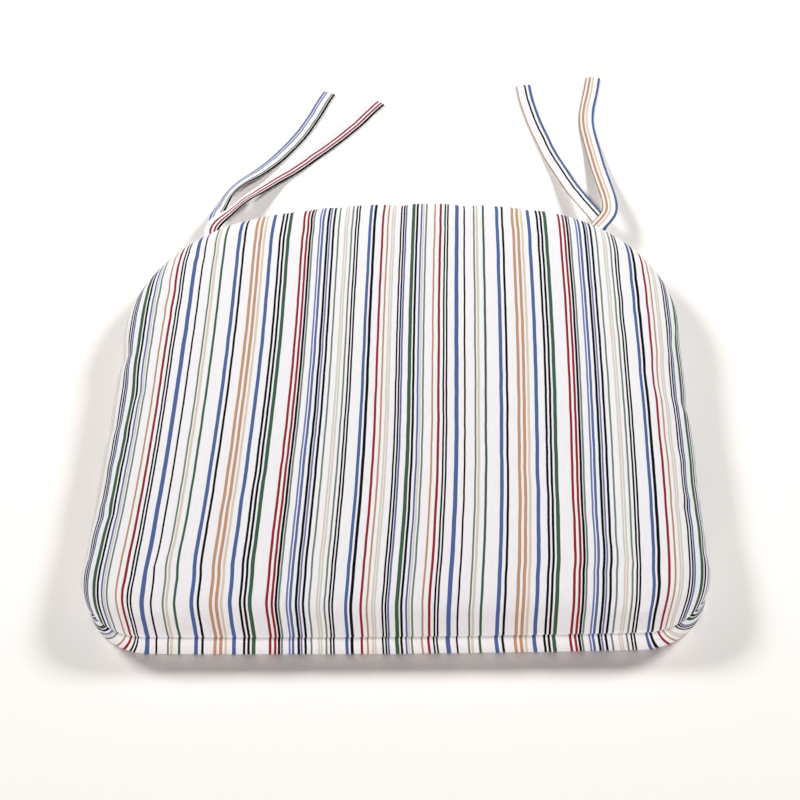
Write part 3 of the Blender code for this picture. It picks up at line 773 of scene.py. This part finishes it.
TIE_WIDTH = 0.0120
TIE_THICKNESS = 0.0011
TIE_STEP = 0.0025              # distance between the rows of a tie's mesh
TIE_WAVE = 0.0005              # height of its creases
TIE_CALM = 0.03                # length by the seam over which they begin
TIE_MARGIN = 1.02              # size of the tie's UV square against its length
# Each tie: its route from the seam to the free end, as in the frame, then the stripes on the face
# that starts uppermost (place in the warp plan of its left and right edges, seen from the seam),
# and the roll in degrees at shares of its length.
TIES = {
    "tie_left_outer": dict(route=[
        (-0.1450, 0.1650, 0.01935), (-0.1464, 0.1707, 0.0189), (-0.1466, 0.1780, 0.0176),
        (-0.1457, 0.1860, 0.0159), (-0.1451, 0.1969, 0.0136), (-0.1420, 0.2109, 0.0103),
        (-0.1378, 0.2283, 0.0068), (-0.1305, 0.2424, 0.0040), (-0.1196, 0.2547, 0.0020),
        (-0.1085, 0.2678, 0.0010), (-0.0971, 0.2840, 0.0008), (-0.0856, 0.3041, 0.0008),
        (-0.0766, 0.3249, 0.0008), (-0.0698, 0.3441, 0.0008), (-0.0658, 0.3537, 0.0008)],
        face=(0.1264, 0.1146),
        roll=[(0, 0), (0.12, 0), (0.24, 30), (0.36, 22), (0.5, 6), (0.65, 0), (1, 0)]),
    "tie_left_inner": dict(route=[
        (-0.1450, 0.1650, 0.02065), (-0.1464, 0.1707, 0.0206), (-0.1454, 0.1780, 0.0198),
        (-0.1415, 0.1875, 0.0178), (-0.1345, 0.1997, 0.0145), (-0.1247, 0.2180, 0.0095),
        (-0.1131, 0.2343, 0.0052), (-0.1020, 0.2485, 0.0022), (-0.0882, 0.2617, 0.0010),
        (-0.0752, 0.2759, 0.0008), (-0.0633, 0.2884, 0.0008), (-0.0525, 0.3011, 0.0008),
        (-0.0392, 0.3178, 0.0008), (-0.0319, 0.3290, 0.0008), (-0.0233, 0.3404, 0.0008)],
        face=(0.1044, 0.1164), roll=[(0, 0), (0.1, 0), (0.2, 25), (0.35, 12), (0.5, 0), (1, 0)]),
    "tie_right_inner": dict(route=[
        (0.1461, 0.1646, 0.01935), (0.1493, 0.1695, 0.0188), (0.1503, 0.1755, 0.0176),
        (0.1482, 0.1835, 0.0158), (0.1411, 0.2007, 0.0122), (0.1325, 0.2234, 0.0072),
        (0.1247, 0.2470, 0.0033), (0.1166, 0.2704, 0.0013), (0.1103, 0.2927, 0.0008),
        (0.1048, 0.3133, 0.0008), (0.1003, 0.3357, 0.0008), (0.0977, 0.3571, 0.0008)],
        face=(0.0752, 0.0624), roll=[(0, 0), (0.2, 0), (0.4, 0), (1, 0)]),
    "tie_right_outer": dict(route=[
        (0.1461, 0.1646, 0.02065), (0.1494, 0.1694, 0.0206), (0.1536, 0.1755, 0.0201),
        (0.1570, 0.1825, 0.0188), (0.1589, 0.1910, 0.0167), (0.1593, 0.2033, 0.0137),
        (0.1574, 0.2239, 0.0090), (0.1541, 0.2494, 0.0047), (0.1508, 0.2779, 0.0020),
        (0.1481, 0.3038, 0.0009), (0.1492, 0.3227, 0.0008), (0.1537, 0.3467, 0.0008),
        (0.1568, 0.3646, 0.0008)],
        face=(0.0754, 0.0880), roll=[(0, 0), (0.1, 0), (0.25, 0), (0.4, 0), (1, 0)]),
}


def smooth_curve(route, spacing):
    """Points of a Catmull-Rom curve through the route, evenly spaced."""
    knots = np.array(route)
    knots = np.vstack([2 * knots[0] - knots[1], knots, 2 * knots[-1] - knots[-2]])
    fine = []
    for p0, p1, p2, p3 in zip(knots, knots[1:], knots[2:], knots[3:]):
        for share in np.linspace(0, 1, 16, endpoint=False):
            fine.append(0.5 * (2 * p1 + (p2 - p0) * share + (2 * p0 - 5 * p1 + 4 * p2 - p3) * share ** 2
                               + (3 * p1 - p0 - 3 * p2 + p3) * share ** 3))
    fine.append(knots[-2])
    fine = np.array(fine)
    gone = np.concatenate([[0], np.cumsum(np.linalg.norm(np.diff(fine, axis=0), axis=1))])
    stations = np.linspace(0, gone[-1], round(gone[-1] / spacing) + 1)
    return np.column_stack([np.interp(stations, gone, fine[:, axis]) for axis in range(3)]), gone[-1]


def tie_section(steps=7):
    """Loop of (across, up, u share) round the folded tape: soft edges and a slightly full middle."""
    half, thick = TIE_WIDTH / 2, TIE_THICKNESS / 2
    top = []
    for share in np.linspace(-1, 1, 2 * steps + 1):
        top.append((half * share, thick * (1 - abs(share) ** 5) ** 0.5, 0.5 + 0.5 * share))
    bottom = [(across, -up, 2 - place) for across, up, place in top[::-1][1:-1]]
    return top + bottom


def make_tie(name, facts, twill):
    """A folded tape along its route, rolled and slightly creased, closed at both ends."""
    route, length = smooth_curve(facts["route"], TIE_STEP)
    along = np.linspace(0, 1, len(route))
    roll = np.radians(np.interp(along, *zip(*facts["roll"])))
    for _ in range(6):
        roll[1:-1] = (roll[:-2] + 2 * roll[1:-1] + roll[2:]) / 4
    forward = np.gradient(route, axis=0)
    forward /= np.linalg.norm(forward, axis=1)[:, None]
    sideways = np.cross(forward, (0, 0, 1))
    sideways /= np.linalg.norm(sideways, axis=1)[:, None]
    upward = np.cross(sideways, forward)
    across = sideways * np.cos(roll)[:, None] + upward * np.sin(roll)[:, None]
    normal = upward * np.cos(roll)[:, None] - sideways * np.sin(roll)[:, None]
    section = tie_section()
    left, right = (PATTERN_START + place for place in facts["face"])
    points, cloth = [], []
    seed = len(name) * 1.7 + facts["face"][0] * 900
    for index, middle in enumerate(route):
        gone = along[index] * length
        wave = TIE_WAVE * sin(gone * 160 + seed) * sin(gone * 47 + seed) * min(1, gone / TIE_CALM)
        row, flat = [], []
        for x, up, place in section + section[:1]:
            lift = up + abs(wave) * (1 - (2 * x / TIE_WIDTH) ** 2) + 0.4 * wave * x / TIE_WIDTH
            row.append(middle + across[index] * x + normal[index] * lift)
            flat.append(place)
        points.append(row)
        cloth.append(flat)
    points = np.array(points)
    points[..., 2] = np.maximum(points[..., 2], 0.0001)
    flat = np.array(cloth)
    flat[:, -1] = 2.0
    u = left + (right - left) * flat
    v = (along * length)[:, None] + np.zeros_like(flat)
    middle_u, middle_v = (u.min() + u.max()) / 2, length / 2
    span = length * TIE_MARGIN
    look = cloth_material("striped_" + name, twill, span, (middle_u, middle_v))
    piece = grid_object(name + "_tape", points, look, closed=False, flip=True,
                        cloth=np.stack([u - middle_u, v - middle_v], axis=-1), span=span)
    work = bmesh.new()
    work.from_mesh(piece.data)
    bmesh.ops.remove_doubles(work, verts=work.verts, dist=1e-6)
    rims = [edge for edge in work.edges if edge.is_boundary]
    bmesh.ops.holes_fill(work, edges=rims, sides=0)
    bmesh.ops.recalc_face_normals(work, faces=work.faces)
    work.to_mesh(piece.data)
    work.free()
    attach(piece, "pad")
    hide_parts(name)


# ------------------------------------------------------------------ zip

COIL_PITCH = 0.00125
COIL_RADIUS = 0.00026          # of the nylon thread
COIL_DEPTH = 0.0010            # of one hairpin turn, from front to rear
COIL_INSET = 0.0003            # of its front leg from the face of the coil strip


def tube(path, radius, sides):
    """Points round a path that stays in one plane: rows of the tube's skin."""
    path = np.array(path)
    forward = np.gradient(path, axis=0)
    forward /= np.linalg.norm(forward, axis=1)[:, None]
    plane = np.cross(path[1] - path[0], path[-1] - path[0])
    plane = plane / np.linalg.norm(plane)
    other = np.cross(forward, plane)
    turns = np.linspace(0, 2 * pi, sides, endpoint=False)
    return np.array([[point + radius * (cos(turn) * plane + sin(turn) * side) for turn in turns]
                     for point, side in zip(path, other)])


def joined(name, shapes, look):
    """One object from many tubes, each closed at its ends."""
    vertices, faces = [], []
    for rows in shapes:
        base = len(vertices)
        count, sides = rows.shape[:2]
        vertices.extend(rows.reshape(-1, 3).tolist())
        for row in range(count - 1):
            for side in range(sides):
                after = (side + 1) % sides
                faces.append((base + row * sides + side, base + row * sides + after,
                              base + (row + 1) * sides + after, base + (row + 1) * sides + side))
        faces.append([base + side for side in range(sides)][::-1])
        faces.append([base + (count - 1) * sides + side for side in range(sides)])
    mesh = bpy.data.meshes.new(name)
    mesh.from_pydata(vertices, [], faces)
    mesh.materials.append(look)
    mesh.shade_smooth()
    return link(bpy.data.objects.new(name, mesh))


def arc_point(angle, radius, height):
    """Point on the back arc, at an angle from +Y towards +X."""
    return np.array((radius * sin(angle), ZIP_AXIS.y + radius * cos(angle), height))


def make_coil(name, node, side, look):
    """Hairpin turns of nylon along the tape's edge, meshing with the other coil's."""
    low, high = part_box(node)
    front = COIL_OUT - COIL_INSET
    rear = front - COIL_DEPTH
    reach = (high.z - low.z) + abs((low.z if side > 0 else high.z) - SEAM)
    count = int(2 * ZIP_HALF * BACK_RADIUS / COIL_PITCH)
    shapes = []
    for index in range(count):
        angle = -ZIP_HALF + (index + (0.25 if side > 0 else 0.75)) * COIL_PITCH / BACK_RADIUS
        path = [arc_point(angle, radius, SEAM + side * height) for radius, height in (
            (front, reach), (front, 0.4 * reach), (front - 0.0001, 0.0), (front - 0.0005, -0.00025),
            (rear + 0.0001, 0.0), (rear, 0.4 * reach), (rear, reach))]
        shapes.append(tube(path, COIL_RADIUS, 6))
    piece = joined(name, shapes, look)
    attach(piece, "pad")
    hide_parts(node)


# ------------------------------------------------------------------ studio

FLOOR_REACH = 4.0
FLOOR_DROP = 0.0002            # keeps the floor from flickering against the underside
KEY_POWER, KEY_SIZE = 26.5, 0.55
FILL_POWER, FILL_SIZE = 18, 0.8
WORLD_STRENGTH = 0.14
CAMERA_PLACE = (0.0555, -0.7001, 0.8790)
CAMERA_HEADING, CAMERA_ELEVATION, CAMERA_ROLL = 4.39, 50.65, -4.30     # degrees


def make_floor():
    mesh = bpy.data.meshes.new("floor")
    corners = [(FLOOR_REACH * x, FLOOR_REACH * y, 0) for x, y in ((-1, -1), (1, -1), (1, 1), (-1, 1))]
    mesh.from_pydata(corners, [], [(0, 1, 2, 3)])
    floor = link(bpy.data.objects.new("floor", mesh))
    floor.location.z = -FLOOR_DROP
    look, build, shader = material("pale_floor", 0.9)
    place = build.add("ShaderNodeTexCoord").outputs["Object"]
    cloud = build.noise(place, 900.0, 2.0)
    build.put(shader["Base Color"], build.mix(cloud, (0.90, 0.872, 0.845, 1.0), (0.95, 0.925, 0.895, 1.0)))
    mesh.materials.append(look)


def add_area_light(name, place, aim, size, power, colour=(1.0, 1.0, 1.0)):
    data = bpy.data.lights.new(name, "AREA")
    data.shape = "DISK"
    data.size = size
    data.energy = power
    data.color = colour
    lamp = link(bpy.data.objects.new(name, data))
    lamp.location = place
    lamp.rotation_euler = (Vector(aim) - Vector(place)).to_track_quat("-Z", "Y").to_euler()


def make_studio():
    """Two soft lights behind the pad, a low fill in front of it and a pale world."""
    make_floor()
    add_area_light("key_left", (-1.25, 0.75, 1.30), (0, 0, 0), KEY_SIZE, KEY_POWER)
    add_area_light("key_right", (1.25, 0.75, 1.30), (0, 0, 0), KEY_SIZE, KEY_POWER)
    add_area_light("fill_front", (0.0, -1.7, 0.26), (0, -0.19, 0.02), FILL_SIZE, FILL_POWER,
                   (1.0, 0.95, 0.95))
    world = bpy.data.worlds.new("studio")
    world.use_nodes = True
    background = world.node_tree.nodes["Background"]
    background.inputs["Color"].default_value = (1.0, 0.93, 0.86, 1.0)
    background.inputs["Strength"].default_value = WORLD_STRENGTH
    bpy.context.scene.world = world
    bpy.context.scene.view_settings.view_transform = "Standard"


def make_camera():
    """72 mm lens, about 51 degrees above the pad, with the pad slightly turned in the picture."""
    data = bpy.data.cameras.new("camera")
    data.lens = 72
    data.sensor_width = 36
    camera = link(bpy.data.objects.new("camera", data))
    turn = (Matrix.Rotation(radians(CAMERA_HEADING), 4, "Z")
            @ Matrix.Rotation(radians(90 - CAMERA_ELEVATION), 4, "X")
            @ Matrix.Rotation(radians(CAMERA_ROLL), 4, "Z"))
    camera.matrix_world = Matrix.Translation(CAMERA_PLACE) @ turn
    bpy.context.scene.camera = camera


make_camera()
make_studio()

twill = twill_group(warp_colour_group())
for tie_name, tie_facts in TIES.items():
    make_tie(tie_name, tie_facts, twill)
make_foam(*make_cover(twill))

nylon = nylon_material("zip_nylon", (0.80, 0.80, 0.80))
tape = plain_weave_material("zip_tape_weave", (0.84, 0.84, 0.84), 0.0005)
metal = metal_material("zip_metal", (0.72, 0.72, 0.74))
thread = thread_material("white_thread", (0.85, 0.85, 0.86))
cotton = plain_weave_material("tie_cotton", (0.86, 0.845, 0.87), 0.0008)
make_coil("coil_turns_upper", "zip_coil_upper", 1, nylon)
make_coil("coil_turns_lower", "zip_coil_lower", -1, nylon)

for node, look in (("zip_tape_upper", tape), ("zip_tape_lower", tape), ("zip_stop_left", metal),
                   ("zip_stop_right", metal), ("zip_slider", metal), ("zip_pull", metal),
                   ("seam_overlock", thread),
                   ("tie_anchor_left", cotton), ("tie_anchor_right", cotton)):
    frame["nodes"][node].data.materials.clear()
    frame["nodes"][node].data.materials.append(look)
